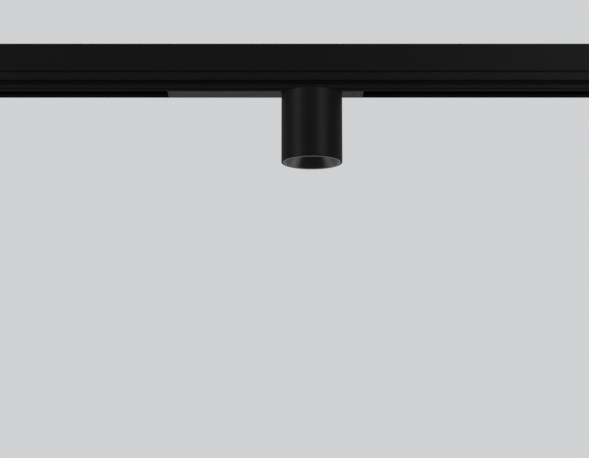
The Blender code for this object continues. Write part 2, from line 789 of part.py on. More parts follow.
def make_light_source(parent):
    """Thermal pad, LED board with its screws, and the LED chip."""
    pad_top = SINK_BOTTOM - GAP
    disc("thermal_pad", 9.3, pad_top - 0.5, pad_top, rubber(), parent, sides=32)
    board_top = pad_top - 0.5 - GAP
    board_bottom = board_top - 1.6
    points = [(-11.6, 0), (11.6, 0)]
    board = disc("led_board", 15.0, board_bottom, board_top, white_board(), parent)
    drill(board, "cut_led_board_hole", points, 1.4, board_bottom - 2, board_top + 2)
    disc("led_chip", 7.0, board_bottom - GAP - 1.2, board_bottom - GAP, phosphor(), parent, sides=32)
    for n, (x, y) in enumerate(points, 1):
        head_top = board_bottom - GAP
        screw(f"led_board_screw_{n}", x, y, 2.0, head_top - 1.3, head_top, 1.1, -73.5, parent)
    return points, board_bottom


def make_optics(board_bottom, parent):
    """The lens in its holder, and the anti-glare cone below them."""
    holder_top = board_bottom - GAP
    lip_z = CONE_THROAT_Z + GAP + 1.6
    profile = [
        (16.2, holder_top),
        (16.2, lip_z),
        (12.8, lip_z),
        (12.8, CONE_THROAT_Z + GAP),
        (21.0, CONE_THROAT_Z + GAP),
        (21.0, holder_top),
    ]
    turned("lens_holder", profile, black_plastic(), parent)
    lens_radius = 15.9
    lens_edge = lip_z + GAP + 2.0
    dome = [(lens_radius * math.cos(a), lens_edge + 6.0 * math.sin(a)) for a in dome_angles()]
    profile = [(0, lip_z + GAP), (lens_radius, lip_z + GAP), *dome, (0, lens_edge + 6.0)]
    turned("lens", profile, clear_plastic(), parent)
    flange_top = CONE_MOUTH_Z + 3.0
    wall = 1.5
    slope = (CONE_MOUTH_RADIUS - CONE_THROAT_RADIUS) / (CONE_THROAT_Z - CONE_MOUTH_Z)
    flange_wall = CONE_MOUTH_RADIUS - slope * (flange_top - CONE_MOUTH_Z) + wall
    profile = [
        (CONE_THROAT_RADIUS, CONE_THROAT_Z),
        (CONE_MOUTH_RADIUS, CONE_MOUTH_Z),
        (BORE_RADIUS - GAP, CONE_MOUTH_Z),
        (BORE_RADIUS - GAP, flange_top),
        (flange_wall, flange_top),
        (CONE_THROAT_RADIUS + wall, CONE_THROAT_Z),
    ]
    turned("glare_cone", profile, cone_black(), parent, sides=64)


def dome_angles():
    steps = 6
    return [math.radians(90 * i / steps) for i in range(steps)]


def make_head(parent):
    make_head_tube(parent)
    make_top_cap(parent)
    make_cap_screws(parent)
    hinge_end = EAR_OUTER + 0.2
    prism("hinge_pin", hinge_disc(PIN_RADIUS), "X", -hinge_end, hinge_end, steel(), parent)
    board_screw_points, board_bottom = make_light_source(parent)
    make_heat_sink(board_screw_points, parent)
    make_optics(board_bottom, parent)


def main():
    clear_scene()
    track = joint_frame("track_frame", 0, 0, 0)
    carriage = joint_frame("adaptor_frame", 0, 0, PLATE_BOTTOM, track)
    button = joint_frame("button_frame", BUTTON_X, 0, PLATE_BOTTOM, carriage)
    front = joint_frame("latch_front_frame", BUTTON_X, -LATCH_REACH, LATCH_BOTTOM, carriage)
    back = joint_frame("latch_back_frame", BUTTON_X, LATCH_REACH, LATCH_BOTTOM, carriage)
    swivel = joint_frame("pan_axis", 0, 0, DISC_TOP, carriage)
    head = joint_frame("tilt_axis", 0, HINGE_Y, HINGE_Z, swivel)
    make_track(track)
    make_adaptor(carriage)
    make_release_button(button)
    make_release_spring(button)
    make_latch("latch_front", -1, front)
    make_latch("latch_back", 1, back)
    make_swivel(swivel)
    make_head(head)


main()
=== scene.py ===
"""The looks of the track spotlight: fine meshes, procedural materials, studio light and camera.

The shape code works in millimetres, in the row frame: X along the track, Y to the back, Z up.
"""

import math

import bmesh
import bpy
from mathutils import Matrix, Vector


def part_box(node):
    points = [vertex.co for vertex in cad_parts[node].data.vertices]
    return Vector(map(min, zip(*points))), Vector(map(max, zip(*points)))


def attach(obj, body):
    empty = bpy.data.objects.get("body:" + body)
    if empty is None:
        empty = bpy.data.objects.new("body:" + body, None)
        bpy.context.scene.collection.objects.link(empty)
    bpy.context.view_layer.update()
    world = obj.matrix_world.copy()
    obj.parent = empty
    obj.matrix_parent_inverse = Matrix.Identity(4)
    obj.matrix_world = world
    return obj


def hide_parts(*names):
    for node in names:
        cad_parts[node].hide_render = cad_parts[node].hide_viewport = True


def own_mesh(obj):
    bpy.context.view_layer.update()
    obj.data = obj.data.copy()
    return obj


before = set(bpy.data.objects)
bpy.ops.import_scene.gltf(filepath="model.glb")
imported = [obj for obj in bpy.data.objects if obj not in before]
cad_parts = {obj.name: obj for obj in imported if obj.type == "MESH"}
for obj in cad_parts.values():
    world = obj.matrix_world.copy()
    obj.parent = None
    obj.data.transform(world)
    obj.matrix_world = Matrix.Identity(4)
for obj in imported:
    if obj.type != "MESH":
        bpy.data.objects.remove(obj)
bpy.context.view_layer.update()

MM = 0.001
FINE = 256  # sides of the large turned pieces
MEDIUM = 128
MODEST = 96
SMALL = 48
SHARP = math.radians(40)
PAST = 2.0  # how far a cutter runs past what it cuts

# Sizes that the CAD boxes don't give
SLOT_TOP = -17.6
SLOT_HALF = 9.8
CHAMBER_HALF = 11.7
CHAMBER_TOP = -2.0
CHAMBER_BOTTOM = -16.0
REBATE_HALF = 12.3
REBATE_TOP = -46.2
LATCH_GROOVE = (-42.7, -45.0)
CARRIER_FLOOR = -31.3
FIXING_HOLES = (-290.0, 100.0, 270.0)
FIXING_RADIUS = 1.9
ACCESS_RADIUS = 4.5
TUBE_WALL = 1.2
HINGE_Y = 28.2
HINGE_Z = -51.3
KNUCKLE = 2.6
PIN_RADIUS = 1.25
EAR_OUTER = 8.9
WELL_RADIUS = 11.9
WELL_FLOOR = -54.6
SHAFT_RADIUS = 5.0
SHAFT_BORE = 3.2
DISC_TOP = -48.5
TOP_CAP_TOP = -48.8
CAP_SCREW_SEAT = -51.4
ARM_TOP = -50.3
ARM_BOTTOM = -52.3
ARM_SCREW_Y = 6.8
ARM_SCREW_HOLE = 1.3
BOARD_SCREW_HOLE = 1.4
SINK_BASE_TOP = -72.4
CONE_THROAT = 12.4
CONE_MOUTH = 26.2
GAP = 0.3

BACKDROP = (0.635, 0.64, 0.65)  # what the camera sees behind and below the lamp
CAMERA_LENS = 104.94
CAMERA_PLACE = (-0.0171, -1.6437, -0.5053)
CAMERA_PITCH = 11.06  # degrees upwards from level


# Materials


class Look:
    """A Principled material under construction. Texture sizes are in millimetres.

    tint, gloss and relief vary its colour, its roughness and its surface.
    """

    def __init__(self, name, color, roughness, metallic=0.0):
        self.material = bpy.data.materials.new("look_" + name)
        self.material.use_nodes = True
        self.tree = self.material.node_tree
        self.shader = self.tree.nodes["Principled BSDF"]
        self.place = self.add("ShaderNodeTexCoord").outputs["Object"]
        self.set("Base Color", (*color, 1.0))
        self.set("Roughness", roughness)
        self.set("Metallic", metallic)
        self.normal = None

    def add(self, kind, inputs=None, **settings):
        made = self.tree.nodes.new(kind)
        for key, value in settings.items():
            setattr(made, key, value)
        for key, value in (inputs or {}).items():
            self.feed(made.inputs[key], value)
        return made

    def feed(self, socket, value):
        if isinstance(value, bpy.types.NodeSocket):
            self.tree.links.new(value, socket)
        else:
            socket.default_value = value

    def set(self, name, value):
        self.feed(self.shader.inputs[name], value)

    def stretched(self, stretch):
        if stretch == (1, 1, 1):
            return self.place
        scale = tuple(1 / s for s in stretch)
        return self.add("ShaderNodeMapping", {"Vector": self.place, "Scale": scale}).outputs[0]

    def noise(self, size, detail=2.0, stretch=(1, 1, 1)):
        made = self.add(
            "ShaderNodeTexNoise",
            {"Vector": self.stretched(stretch), "Scale": 1 / (size * MM), "Detail": detail},
        )
        return made.outputs["Fac"]

    def cells(self, size, feature="F1"):
        made = self.add(
            "ShaderNodeTexVoronoi",
            {"Vector": self.place, "Scale": 1 / (size * MM)},
            feature=feature,
        )
        return made.outputs["Distance"]

    def between(self, fac, low, high, start=0.3, end=0.7):
        """A number from low to high as fac goes from start to end."""
        made = self.add(
            "ShaderNodeMapRange",
            {"Value": fac, "From Min": start, "From Max": end, "To Min": low, "To Max": high},
        )
        return made.outputs["Result"]

    def mix(self, fac, first, second):
        """A colour between two others. Each is three numbers or a colour socket."""
        made = self.add("ShaderNodeMix", {"Factor": fac}, data_type="RGBA")
        a, b, result = made.inputs[6], made.inputs[7], made.outputs[2]  # the colour sockets
        for socket, value in ((a, first), (b, second)):
            self.feed(socket, value if isinstance(value, bpy.types.NodeSocket) else (*value, 1.0))
        return result

    def tint(self, size, first, second, detail=2.0, stretch=(1, 1, 1)):
        fac = self.between(self.noise(size, detail, stretch), 0.0, 1.0)
        self.set("Base Color", self.mix(fac, first, second))

    def gloss(self, size, low, high, detail=2.0, stretch=(1, 1, 1)):
        self.set("Roughness", self.between(self.noise(size, detail, stretch), low, high))

    def relief(self, height, depth, strength=1.0):
        inputs = {"Height": height, "Distance": depth * MM, "Strength": strength}
        if self.normal is not None:
            inputs["Normal"] = self.normal
        self.normal = self.add("ShaderNodeBump", inputs).outputs["Normal"]
        self.set("Normal", self.normal)


def powder_coat():
    """Fine-grained and nearly black, on the track, the plate and the lamp's outside."""
    look = Look("powder_coat", (0.0115, 0.0115, 0.0118), 0.45)
    look.tint(0.4, (0.009, 0.009, 0.0092), (0.014, 0.014, 0.0143), 3.0)
    look.gloss(9.0, 0.44, 0.47, 3.0)
    look.set("Specular IOR Level", 0.13)
    look.relief(look.noise(0.55, 1.0), 0.030, 0.5)
    look.relief(look.noise(0.16, 2.0), 0.010, 0.6)
    return look.material


def painted_shade_coat():
    """Painted shade: a darker, duller copy of the powder coat for the outside grooves and the
    slot's side walls.
    """
    look = Look("painted_shade_coat", (0.005, 0.005, 0.005), 0.6)
    look.tint(0.5, (0.0035, 0.0035, 0.0035), (0.0065, 0.0065, 0.0065), 3.0)
    look.gloss(6.0, 0.55, 0.68, 3.0)
    look.set("Specular IOR Level", 0.1)
    look.relief(look.noise(0.4, 2.0), 0.025, 0.6)
    return look.material


def slot_coat():
    """The same coat, dry and matt inside the slot."""
    look = Look("slot_coat", (0.022, 0.022, 0.022), 0.7)
    look.tint(0.5, (0.018, 0.018, 0.018), (0.027, 0.027, 0.027), 3.0)
    look.gloss(6.0, 0.65, 0.78, 3.0)
    look.set("Specular IOR Level", 0.05)
    look.relief(look.noise(0.4, 2.0), 0.025, 0.6)
    return look.material


def satin_black():
    """The anti-glare cone's smooth paint."""
    look = Look("satin_black", (0.034, 0.032, 0.031), 0.32)
    look.tint(5.0, (0.032, 0.030, 0.029), (0.037, 0.034, 0.033))
    look.gloss(3.0, 0.3, 0.36, 3.0)
    look.set("Specular IOR Level", 0.75)
    look.relief(look.noise(0.3, 2.0), 0.006, 0.5)
    return look.material


def black_plastic():
    look = Look("black_plastic", (0.018, 0.018, 0.018), 0.55)
    look.tint(1.2, (0.015, 0.015, 0.0155), (0.022, 0.022, 0.022))
    look.gloss(0.5, 0.48, 0.62)
    look.relief(look.cells(0.22, "SMOOTH_F1"), 0.02, 0.6)
    return look.material


def grey_plastic():
    look = Look("grey_plastic", (0.1, 0.1, 0.11), 0.5)
    look.tint(2.0, (0.085, 0.086, 0.095), (0.115, 0.115, 0.125))
    look.gloss(0.6, 0.42, 0.56)
    look.relief(look.noise(0.25, 2.0), 0.012, 0.5)
    return look.material


def copper():
    look = Look("copper", (0.72, 0.4, 0.24), 0.3, 1.0)
    drawn = (60, 1, 1)
    look.tint(14.0, (0.80, 0.46, 0.29), (0.52, 0.25, 0.14), 4.0)
    look.gloss(0.12, 0.2, 0.38, 1.0, drawn)
    look.relief(look.noise(0.1, 1.0, drawn), 0.006, 0.5)
    return look.material


def bright_steel():
    look = Look("bright_steel", (0.55, 0.55, 0.57), 0.32, 1.0)
    look.tint(4.0, (0.56, 0.57, 0.60), (0.50, 0.495, 0.48), 3.0)
    look.gloss(0.35, 0.26, 0.42, 3.0)
    look.relief(look.noise(0.2, 2.0), 0.006, 0.5)
    return look.material


def nickel_plate():
    look = Look("nickel_plate", (0.66, 0.64, 0.6), 0.18, 1.0)
    look.tint(6.0, (0.68, 0.66, 0.62), (0.60, 0.585, 0.56))
    look.gloss(1.5, 0.12, 0.24)
    look.relief(look.noise(1.1, 1.0), 0.02, 0.4)
    return look.material


def bare_aluminium():
    look = Look("bare_aluminium", (0.6, 0.61, 0.63), 0.38, 1.0)
    upright = (1, 1, 40)
    look.tint(7.0, (0.62, 0.63, 0.65), (0.52, 0.53, 0.54), 3.0)
    look.gloss(0.15, 0.3, 0.48, 1.0, upright)
    look.relief(look.noise(0.12, 1.0, upright), 0.01, 0.6)
    return look.material


def board_green():
    """Solder mask over copper: lines of traces between plain areas."""
    look = Look("board_green", (0.02, 0.14, 0.06), 0.4)
    traces = look.add(
        "ShaderNodeTexBrick",
        {
            "Vector": look.place,
            "Scale": 1 / (4.2 * MM),
            "Mortar Size": 0.06,
            "Mortar Smooth": 0.2,
            "Color1": (0.0, 0.0, 0.0, 1.0),
            "Color2": (0.25, 0.25, 0.25, 1.0),
            "Mortar": (1.0, 1.0, 1.0, 1.0),
        },
        offset=0.35,
        squash=0.6,
    )
    pattern = traces.outputs["Color"]
    look.set("Base Color", look.mix(pattern, (0.012, 0.10, 0.04), (0.03, 0.20, 0.08)))
    look.gloss(1.0, 0.28, 0.42)
    look.relief(pattern, 0.03, 0.6)
    return look.material


def board_white():
    look = Look("board_white", (0.75, 0.75, 0.73), 0.35)
    look.tint(3.0, (0.78, 0.78, 0.76), (0.70, 0.70, 0.68), 3.0)
    look.gloss(0.8, 0.26, 0.42)
    look.relief(look.noise(0.4, 2.0), 0.008, 0.5)
    return look.material


def phosphor():
    look = Look("phosphor", (0.85, 0.62, 0.12), 0.45)
    look.tint(0.25, (0.90, 0.68, 0.16), (0.74, 0.50, 0.07), 3.0)
    look.gloss(0.4, 0.32, 0.5)
    look.set("Subsurface Weight", 0.15)
    look.set("Subsurface Scale", 0.5 * MM)
    look.relief(look.cells(0.12), 0.01, 0.5)
    return look.material


def clear_lens():
    look = Look("clear_lens", (0.97, 0.98, 0.985), 0.02)
    look.set("Transmission Weight", 1.0)
    look.set("IOR", 1.49)
    look.gloss(5.0, 0.01, 0.05)
    look.relief(look.noise(2.0, 1.0), 0.01, 0.3)
    return look.material


def grommet_rubber():
    look = Look("rubber", (0.02, 0.02, 0.02), 0.8)
    look.tint(1.5, (0.017, 0.017, 0.017), (0.03, 0.029, 0.028), 3.0)
    look.gloss(0.7, 0.7, 0.88)
    look.relief(look.noise(0.3, 3.0), 0.02, 0.6)
    return look.material


def ferrite():
    look = Look("ferrite", (0.06, 0.06, 0.065), 0.5)
    look.tint(0.25, (0.05, 0.05, 0.055), (0.09, 0.09, 0.095), 4.0)
    look.gloss(0.6, 0.42, 0.62, 3.0)
    look.relief(look.cells(0.3), 0.02, 0.6)
    return look.material


def capacitor_sleeve():
    look = Look("sleeve", (0.05, 0.07, 0.12), 0.35)
    look.tint(6.0, (0.045, 0.065, 0.12), (0.06, 0.08, 0.13))
    look.gloss(2.0, 0.28, 0.4)
    look.relief(look.noise(0.9, 1.0), 0.02, 0.4)
    return look.material


def stripe_ink():
    look = Look("stripe_ink", (0.55, 0.56, 0.58), 0.4)
    look.tint(1.5, (0.52, 0.53, 0.55), (0.6, 0.61, 0.63))
    look.gloss(1.0, 0.34, 0.46)
    return look.material


MAKERS = {
    "black_powder_coat": powder_coat,
    # painted shade: the darker coat for grooves and the slot's side walls
    "painted_shade_coat": painted_shade_coat,
    "slot_coat": slot_coat,
    "satin_black": satin_black,
    "black_plastic": black_plastic,
    "grey_plastic": grey_plastic,
    "copper": copper,
    "bright_steel": bright_steel,
    "nickel_plate": nickel_plate,
    "bare_aluminium": bare_aluminium,
    "board_green": board_green,
    "board_white": board_white,
    "phosphor_yellow": phosphor,
    "clear_lens": clear_lens,
    "grommet_rubber": grommet_rubber,
    "ferrite": ferrite,
    "capacitor_sleeve": capacitor_sleeve,
    "stripe_ink": stripe_ink,
}
LOOKS = {}


def look_of(slot):
    if slot not in LOOKS:
        LOOKS[slot] = MAKERS[slot]()
    return LOOKS[slot]


# Shape helpers


def span(node):
    """A CAD node's lowest and highest corners, in millimetres."""
    low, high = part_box(node)
    return low / MM, high / MM


def middle_of(node):
    low, high = span(node)
    return (low + high) / 2


def place(axis, along, u, v):
    """A point at distance along the axis: X sees (Y, Z) and Z sees (X, Y)."""
    if axis == "X":
        return (along, u, v)
    return (u, v, along)


def arc(cu, cv, radius, start, end, steps):
    angles = [math.radians(start + (end - start) * i / steps) for i in range(steps + 1)]
    return [(cu + radius * math.cos(a), cv + radius * math.sin(a)) for a in angles]


def circle(cu, cv, radius, sides):
    return arc(cu, cv, radius, 0, 360, sides)[:-1]


def soften(outline, radius, steps=4, least_turn=25):
    """Rounds the sharp corners of a closed outline. Points on a turning axis (u = 0) stay."""
    made = []
    for i, corner in enumerate(outline):
        here = Vector(corner)
        before = Vector(outline[i - 1]) - here
        after = Vector(outline[(i + 1) % len(outline)]) - here
        turn = math.pi - before.angle(after)
        if here.x == 0 or turn < math.radians(least_turn):
            made.append(corner)
            continue
        reach = min(radius * math.tan(turn / 2), 0.45 * before.length, 0.45 * after.length)
        start = here + before.normalized() * reach
        end = here + after.normalized() * reach
        for k in range(steps + 1):
            t = k / steps
            made.append(tuple(start * (1 - t) ** 2 + here * 2 * t * (1 - t) + end * t * t))
    return made


def rectangle(u0, u1, v0, v1):
    return [(u0, v0), (u1, v0), (u1, v1), (u0, v1)]


def prism(outline, axis, start, end):
    bm = bmesh.new()
    first = [bm.verts.new(place(axis, start, u, v)) for u, v in outline]
    last = [bm.verts.new(place(axis, end, u, v)) for u, v in outline]
    bm.faces.new(first)
    bm.faces.new(last[::-1])
    for i in range(len(outline)):
        j = (i + 1) % len(outline)
        bm.faces.new((first[i], last[i], last[j], first[j]))
    return bm


def block(low, high):
    return prism(rectangle(low[1], high[1], low[2], high[2]), "X", low[0], high[0])


def lathe(profile, sides=MEDIUM, centre=(0, 0), axis="Z", ripple=None):
    """A closed profile of (radius, height) points, turned. ripple changes a radius by angle."""
    bm = bmesh.new()
    rings = []
    for radius, height in profile:
        if radius == 0:
            rings.append([bm.verts.new(place(axis, height, *centre))])
            continue
        ring = []
        for i in range(sides):
            angle = 2 * math.pi * i / sides
            r = ripple(radius, height, angle) if ripple else radius
            u, v = centre[0] + r * math.cos(angle), centre[1] + r * math.sin(angle)
            ring.append(bm.verts.new(place(axis, height, u, v)))
        rings.append(ring)
    for k, ring in enumerate(rings):
        following = rings[(k + 1) % len(rings)]
        for i in range(sides):
            j = (i + 1) % sides
            if len(ring) > 1 and len(following) > 1:
                bm.faces.new((ring[i], ring[j], following[j], following[i]))
            elif len(ring) > 1:
                bm.faces.new((ring[i], ring[j], following[0]))
            elif len(following) > 1:
                bm.faces.new((ring[0], following[j], following[i]))
    return bm


def disc(radius, bottom, top, **more):
    """A plain cylinder to cut with or to join on."""
    return lathe([(0, bottom), (radius, bottom), (radius, top), (0, top)], **more)


def saw(height, pitch, angle):
    """A screw thread's depth at a point, from 0 at the crest to 1 at the root."""
    return abs(((height / pitch - angle / (2 * math.pi)) % 1) - 0.5) * 2


def plain_object(name, bm):
    """A mesh object in metres from a bmesh in millimetres."""
    bmesh.ops.scale(bm, vec=(MM, MM, MM), verts=bm.verts)
    bmesh.ops.recalc_face_normals(bm, faces=bm.faces)
    mesh = bpy.data.meshes.new(name)
    bm.to_mesh(mesh)
    bm.free()
    made = bpy.data.objects.new(name, mesh)
    bpy.context.scene.collection.objects.link(made)
    return made


def carve(item, operation, *shapes):
    """Cuts, joins or keeps the common part with each shape, and leaves no cutter behind."""
    for bm in shapes:
        tool = plain_object("tool", bm)
        modifier = item.modifiers.new("carve", "BOOLEAN")
        modifier.operation = operation
        modifier.solver = "EXACT"
        modifier.object = tool
        graph = bpy.context.evaluated_depsgraph_get()
        mesh = bpy.data.meshes.new_from_object(item.evaluated_get(graph))
        item.modifiers.clear()
        item.data = mesh
        bpy.data.objects.remove(tool)


def dress(item, bevel=0.0, segments=2, weld=False):
    """Small rounded edges, and smooth shading that keeps flat faces flat."""
    if weld:
        item.modifiers.new("weld", "WELD").merge_threshold = 1e-6
    if bevel:
        modifier = item.modifiers.new("edges", "BEVEL")
        modifier.width = bevel * MM
        modifier.segments = segments
        modifier.limit_method = "ANGLE"
        modifier.angle_limit = SHARP
        modifier.use_clamp_overlap = True
    if not weld:
        item.data.shade_smooth()
        item.data.set_sharp_from_angle(angle=SHARP)
    normals = item.modifiers.new("normals", "WEIGHTED_NORMAL")
    normals.keep_sharp = True


def piece(name, shape, body, slot, nodes=(), bevel=0.0, segments=2):
    """A finished piece from a bmesh or an object: dressed, painted and riding on its body."""
    made = plain_object(name, shape) if isinstance(shape, bmesh.types.BMesh) else shape
    made.name = name
    made.data.materials.clear()
    made.data.materials.append(look_of(slot))
    dress(made, bevel, segments)
    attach(made, body)
    if nodes:
        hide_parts(*nodes)
    return made


def cad_piece(node, bevel):
    """Keeps a CAD node, with welded and rounded edges."""
    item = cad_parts[node]
    for entry in item.material_slots:
        entry.material = look_of(entry.material.name.split(".")[0])
    for polygon in item.data.polygons:
        polygon.use_smooth = True
    dress(item, bevel, 2, weld=True)


# Track


def track_half():
    """One side of the profile, from the ceiling face's edge round to the slot's ceiling."""
    low, high = span("track_profile")
    half, foot = high.y, low.z
    lip_radius = 3.4
    lip = arc(half - lip_radius, -44.0, lip_radius, 35, -32, 24)
    return [
        (half, 0),
        (half, -27.7),
        (half - 1.0, -27.7),
        (half - 1.0, -29.0),
        (half, -29.0),
        (half, -37.1),
        (half - 1.5, -37.1),
        (half - 1.5, -38.9),
        (half - 1.1, -39.3),
        (half - 1.9, -39.8),
        (half - 1.9, -42.0),
        *lip,
        (half - 0.7, -46.0),
        (half - 0.7, -46.5),
        (half, -46.7),
        (half, foot + 0.3),
        (half - 0.3, foot),
        (REBATE_HALF, foot),
        (REBATE_HALF, REBATE_TOP),
        (SLOT_HALF, REBATE_TOP),
        (SLOT_HALF, LATCH_GROOVE[1]),
        (CHAMBER_HALF, LATCH_GROOVE[1]),
        (CHAMBER_HALF, LATCH_GROOVE[0]),
        (SLOT_HALF, LATCH_GROOVE[0]),
        (SLOT_HALF, CARRIER_FLOOR),
        (CHAMBER_HALF, CARRIER_FLOOR),
        (CHAMBER_HALF, SLOT_TOP),
    ]


def make_track():
    low, high = span("track_profile")
    half = track_half()
    outline = soften(half + [(-y, z) for y, z in reversed(half)], 0.22, 3)
    profile = plain_object("track_extrusion", prism(outline, "X", low.x, high.x))
    chamber = soften(rectangle(-CHAMBER_HALF, CHAMBER_HALF, CHAMBER_BOTTOM, CHAMBER_TOP), 0.6)
    past_end = 5.0
    carve(profile, "DIFFERENCE", prism(chamber, "X", low.x - past_end, high.x + past_end))
    for x in FIXING_HOLES:
        hole = {"centre": (x, 0), "sides": SMALL}
        fixing = disc(FIXING_RADIUS, CHAMBER_TOP - PAST, PAST, **hole)
        access = disc(ACCESS_RADIUS, SLOT_TOP - PAST, CHAMBER_BOTTOM + PAST, **hole)
        carve(profile, "DIFFERENCE", fixing, access)
    piece("track_extrusion", profile, "track", "black_powder_coat", ["track_profile"], 0.12)
    # the darker coat in the grooves and on the side walls is painted shade
    coat_hollows(profile, low.z, high.y)


def coat_hollows(profile, foot, half):
    """Painted shade (a darker, duller coat) in the grooves and on the hollows' side walls, dry
    coat in the slot and on the cut ends."""
    # slot 1 holds the painted shade, slot 2 the dry coat
    painted_shade, dry = 1, 2  # material slots
    profile.data.materials.append(look_of("painted_shade_coat"))
    profile.data.materials.append(look_of("slot_coat"))
    margin = 0.2
    groove = half - 0.55  # a face nearer to the middle than this is a groove's floor
    for face in profile.data.polygons:
        y, z = abs(face.center.y / MM), face.center.z / MM
        within = foot + margin < z < -margin
        cut_end = abs(face.normal.x) > 0.5
        if cut_end or (within and y < REBATE_HALF + 0.1):
            side_wall = y > CHAMBER_HALF - margin and z > LATCH_GROOVE[0]
            face.material_index = painted_shade if side_wall else dry
        elif within and y < groove:
            face.material_index = painted_shade


def make_grommet():
    low, high = span("feed_grommet")
    centre = (0, middle_of("feed_grommet").z)
    bore, neck, flange = 2.5, 4.0, (high.z - low.z) / 2
    inner_end = high.x - 3.6
    seat = inner_end + 2.3  # where the flange meets the cap
    rounded = high.x - 0.5
    profile = [
        (bore, inner_end),
        (neck, inner_end),
        (neck, seat),
        (flange, seat),
        (flange - 0.2, rounded),
        (flange - 0.9, high.x),
        (bore + 0.4, high.x),
        (bore, rounded),
    ]
    bm = lathe(soften(profile, 0.45), MODEST, centre, "X")
    piece("grommet", bm, "track", "grommet_rubber", ["feed_grommet"])


# Adaptor


def make_contact_springs():
    """Thin leaves bent outwards, two for each side of the slot."""
    thickness = 0.3
    foot, crest = 0.9, 1.3  # the flat length of each end, and half that of the middle
    for node in [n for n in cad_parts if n.startswith("spring_contact")]:
        low, high = span(node)
        middle = (low + high) / 2
        side = math.copysign(1, middle.y)
        near, far = sorted((abs(low.y), abs(high.y)))
        length = (high.x - low.x) / 2
        line = [(-length, near), (-length + foot, near), (-crest, far - thickness)]
        line += [(crest, far - thickness), (length - foot, near), (length, near)]
        outline = line + [(x, y + thickness) for x, y in reversed(line)]
        outline = [(middle.x + x, side * y) for x, y in outline]
        bm = prism(soften(outline, 0.5, 5, 10), "Z", low.z, high.z)
        piece(node + "_leaf", bm, "adaptor", "copper", [node], 0.06)


def make_bush():
    low, high = span("swivel_bush")
    sleeve, flange = 6.1, (high.x - low.x) / 2
    profile = [
        (SHAFT_RADIUS + GAP, low.z),
        (sleeve, low.z),
        (sleeve, REBATE_TOP),
        (flange, REBATE_TOP),
        (flange, high.z),
        (SHAFT_RADIUS + GAP, high.z),
    ]
    bm = lathe(soften(profile, 0.25), MEDIUM)
    piece("swivel_bearing", bm, "adaptor", "grey_plastic", ["swivel_bush"])


def make_capacitors():
    """Cans in a shrunk sleeve, with a crimp near the foot and a scored metal top."""
    metal, stripe = 1, 2  # material slots
    for node in ("driver_capacitor_1", "driver_capacitor_2"):
        low, high = span(node)
        middle = middle_of(node)
        radius = (high.x - low.x) / 2
        crimp = low.z + 1.9
        rim = radius - 0.9  # of the sunk top, which the sleeve's edge laps
        profile = [(0, low.z), (rim, low.z), (radius, low.z + 0.7)]
        profile += [(radius, crimp - 0.6), (radius - 0.45, crimp), (radius, crimp + 0.6)]
        profile += [(radius, high.z - 0.35), (radius - 0.35, high.z), (rim + 0.1, high.z)]
        profile += [(rim, high.z - 0.25), (0, high.z - 0.25)]
        bm = lathe(soften(profile, 0.3), MODEST, (middle.x, middle.y))
        can = plain_object(node + "_can", bm)
        reach, score_half, score_floor = radius * 0.62, 0.12, high.z - 0.4
        for slant in (20, 110):
            score = block((-reach, -score_half, score_floor), (reach, score_half, high.z + PAST))
            turn = Matrix.Rotation(math.radians(slant), 4, "Z")
            turn = Matrix.Translation((middle.x, middle.y, 0)) @ turn
            bmesh.ops.transform(score, matrix=turn, verts=score.verts)
            carve(can, "DIFFERENCE", score)
        piece(node + "_can", can, "adaptor", "capacitor_sleeve", [node])
        can.data.materials.append(look_of("bare_aluminium"))
        can.data.materials.append(look_of("stripe_ink"))
        for face in can.data.polygons:
            out = face.center / MM - middle
            away = math.hypot(out.x, out.y)
            if face.center.z / MM > high.z - 0.6 and away < rim + 0.05:
                face.material_index = metal
            elif away > radius - 0.2 and abs(math.atan2(out.y, out.x)) < 0.4:
                face.material_index = stripe


def make_inductor():
    """A ferrite frame round a copper winding."""
    low, high = span("driver_inductor")
    middle = (low + high) / 2
    centre = (middle.x, middle.y)
    plate = 0.2 * (high.z - low.z)
    floor, roof = low.z + plate, high.z - plate
    post, leg, sunk = 4.2, 1.4, plate / 2
    core = plain_object("inductor_core", block(low, (high.x, high.y, floor)))
    parts = [block((low.x, low.y, roof), high)]
    parts.append(disc(post, floor - sunk, roof + sunk, centre=centre, sides=SMALL))
    for x in (low.x, high.x - leg):
        parts.append(block((x, low.y, floor - sunk), (x + leg, high.y, roof + sunk)))
    carve(core, "UNION", *parts)
    piece("inductor_core", core, "adaptor", "ferrite", ["driver_inductor"], 0.25)
    bore, depth, margin, turns = 4.35, 1.1, 0.15, 9
    wire = (roof - floor - 2 * margin) / (2 * turns)
    profile = [(bore, floor + margin)]
    for k in range(turns):
        at = floor + margin + wire * (2 * k + 1)
        profile += arc(bore + depth, at, wire * 0.98, -80, 80, 6)
    profile.append((bore, roof - margin))
    piece("inductor_winding", lathe(profile, MODEST, centre), "adaptor", "copper")


def make_chip():
    """A small moulded package with gull-wing legs along two sides."""
    low, high = span("driver_chip")
    inset, draft, belly = 1.0, 0.1, low.z + 0.25
    body = [(low.y + inset, belly), (high.y - inset, belly)]
    body += [(high.y - inset - draft, high.z), (low.y + inset + draft, high.z)]
    package = prism(body, "X", low.x, high.x)
    piece("chip_package", package, "adaptor", "ferrite", ["driver_chip"], 0.1)
    bm = bmesh.new()
    legs, leg_half, thickness = 6, 0.25, 0.2
    under = low.z + 0.75  # the underside of a leg where it leaves the package
    for side in (-1, 1):
        edge = high.y if side > 0 else -low.y
        root = edge - inset + 0.05
        line = [(edge, low.z), (edge - 0.45, low.z), (edge - 0.65, under), (root, under)]
        line += [(root, under + thickness), (edge - 0.5, under + thickness)]
        line += [(edge - 0.3, low.z + thickness), (edge, low.z + thickness)]
        outline = [(side * y, z) for y, z in line]
        for k in range(legs):
            x = low.x + (high.x - low.x) * (k + 0.5) / legs
            leg = prism(outline, "X", x - leg_half, x + leg_half)
            mesh = bpy.data.meshes.new("leg")
            leg.to_mesh(mesh)
            leg.free()
            bm.from_mesh(mesh)
            bpy.data.meshes.remove(mesh)
    piece("chip_legs", bm, "adaptor", "bright_steel", (), 0.03, 1)


